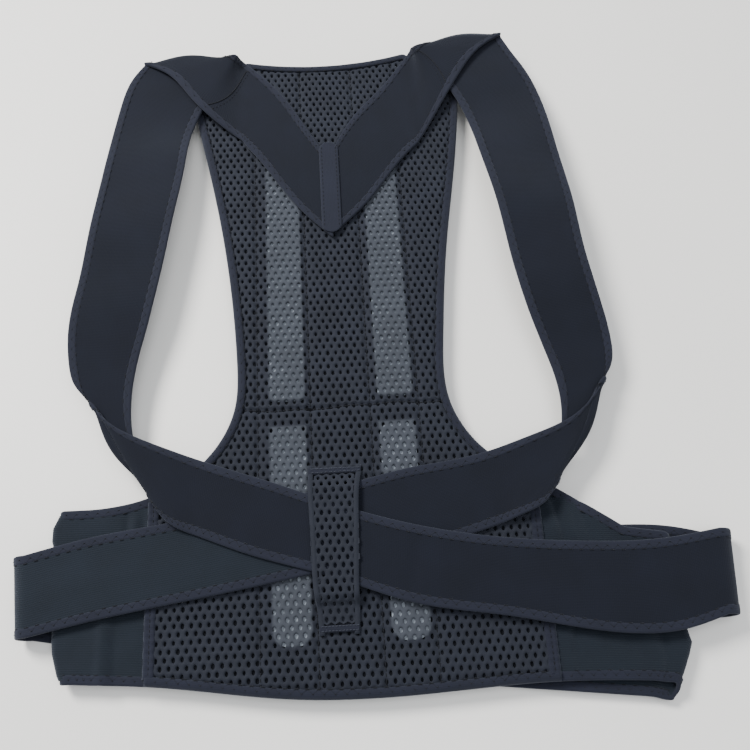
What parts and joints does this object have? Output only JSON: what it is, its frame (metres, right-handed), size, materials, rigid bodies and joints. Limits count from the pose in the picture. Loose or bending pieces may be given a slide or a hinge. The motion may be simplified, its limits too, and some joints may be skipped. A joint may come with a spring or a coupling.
{
  "type": "back brace",
  "caption": "Back brace lying face down: stayed mesh back panel, waist belt with folded wings, and shoulder straps that cross under a keeper at the waist.",
  "frame": {"origin": "on the spine line at mid-height of the waist belt, in the plane of the face that meets the wearer", "axes": "+X across the back to the wearer's right as it lies (the viewer's right), +Y up the spine to the neckline, +Z out of the back"},
  "size_m": [0.4437, 0.4918, 0.0296],
  "materials": {
    "spacer_mesh": "matt knitted spacer mesh with oval holes",
    "lining_fabric": "brushed lining",
    "foam": "soft open-cell foam",
    "stay_plastic": "matt pale grey strip",
    "binding_tape": "woven tape, stitched",
    "strap_webbing": "brushed loop face over elastic",
    "ribbed_elastic": "fine-ribbed elastic",
    "hook_tape": "hook tape",
    "loop_fabric": "loop pile"
  },
  "bodies": {
    "back_panel": {"hem_binding": "binding_tape", "keeper_loop": "spacer_mesh", "left_belt_binding": "binding_tape", "left_belt_elastic": "ribbed_elastic", "left_belt_fold": "ribbed_elastic", "left_gather_tape": "binding_tape", "left_side_binding": "binding_tape", "left_strap_fold": "strap_webbing", "left_strap_waist_run": "strap_webbing", "left_strap_waist_run_binding": "binding_tape", "left_strap_yoke": "strap_webbing", "left_strap_yoke_binding": "binding_tape", "lower_stay_left": "stay_plastic", "lower_stay_right": "stay_plastic", "lumbar_foam": "foam", "lumbar_lining": "lining_fabric", "lumbar_mesh": "spacer_mesh", "lumbar_seam_tape": "binding_tape", "neckline_binding": "binding_tape", "right_belt_binding": "binding_tape", "right_belt_elastic": "ribbed_elastic", "right_belt_fold": "ribbed_elastic", "right_gather_tape": "binding_tape", "right_side_binding": "binding_tape", "right_strap_fold": "strap_webbing", "right_strap_waist_run": "strap_webbing", "right_strap_waist_run_binding": "binding_tape", "right_strap_yoke": "strap_webbing", "right_strap_yoke_binding": "binding_tape", "upper_back_foam": "foam", "upper_back_lining": "lining_fabric", "upper_back_mesh": "spacer_mesh", "upper_stay_left": "stay_plastic", "upper_stay_right": "stay_plastic", "yoke_center_tape": "binding_tape"},
    "left_shoulder_loop": {"left_strap_loop": "strap_webbing", "left_strap_loop_binding": "binding_tape"},
    "right_shoulder_loop": {"right_strap_loop": "strap_webbing", "right_strap_loop_binding": "binding_tape"},
    "left_wing": {"left_wing": "ribbed_elastic", "left_wing_binding": "binding_tape", "left_wing_hook_patch": "hook_tape"},
    "right_wing": {"right_wing": "ribbed_elastic", "right_wing_binding": "binding_tape", "right_wing_loop_patch": "loop_fabric"},
    "left_strap_end": {"left_strap_hook_pad": "hook_tape", "left_strap_tail": "strap_webbing", "left_strap_tail_binding": "binding_tape"},
    "right_strap_end": {"right_strap_hook_pad": "hook_tape", "right_strap_tail": "strap_webbing", "right_strap_tail_binding": "binding_tape"}
  },
  "joints": [
    {"name": "left_loop_swing", "type": "hinge", "parent": "back_panel", "child": "left_shoulder_loop", "pos_m": [-0.092, 0.06, 0.011], "axis": [0.0893, 0.996, 0], "range_deg": [0, 90]},
    {"name": "right_loop_swing", "type": "hinge", "parent": "back_panel", "child": "right_shoulder_loop", "pos_m": [0.092, 0.06, 0.011], "axis": [0.0893, -0.996, 0], "range_deg": [0, 90]},
    {"name": "left_wing_fold", "type": "hinge", "parent": "back_panel", "child": "left_wing", "pos_m": [-0.177, 0, -0.0002], "axis": [0, 1, 0], "range_deg": [0, 178], "deforming": ["left_belt_fold"]},
    {"name": "right_wing_fold", "type": "hinge", "parent": "back_panel", "child": "right_wing", "pos_m": [0.196, 0, -0.0002], "axis": [0, -1, 0], "range_deg": [0, 178], "deforming": ["right_belt_fold"]},
    {"name": "right_strap_end_fold", "type": "hinge", "parent": "back_panel", "child": "right_strap_end", "pos_m": [-0.198, 0, -0.00005], "axis": [0, 1, 0], "range_deg": [0, 178], "deforming": ["right_strap_fold"]},
    {"name": "left_strap_end_fold", "type": "hinge", "parent": "back_panel", "child": "left_strap_end", "pos_m": [0.228, 0, 0.0012], "axis": [0, -1, 0], "range_deg": [0, 178], "deforming": ["left_strap_fold"]}
  ],
  "couplings": [
    {"joint": "right_strap_end_fold", "follows": "left_wing_fold", "ratio": 1},
    {"joint": "left_strap_end_fold", "follows": "right_wing_fold", "ratio": 1}
  ]
}
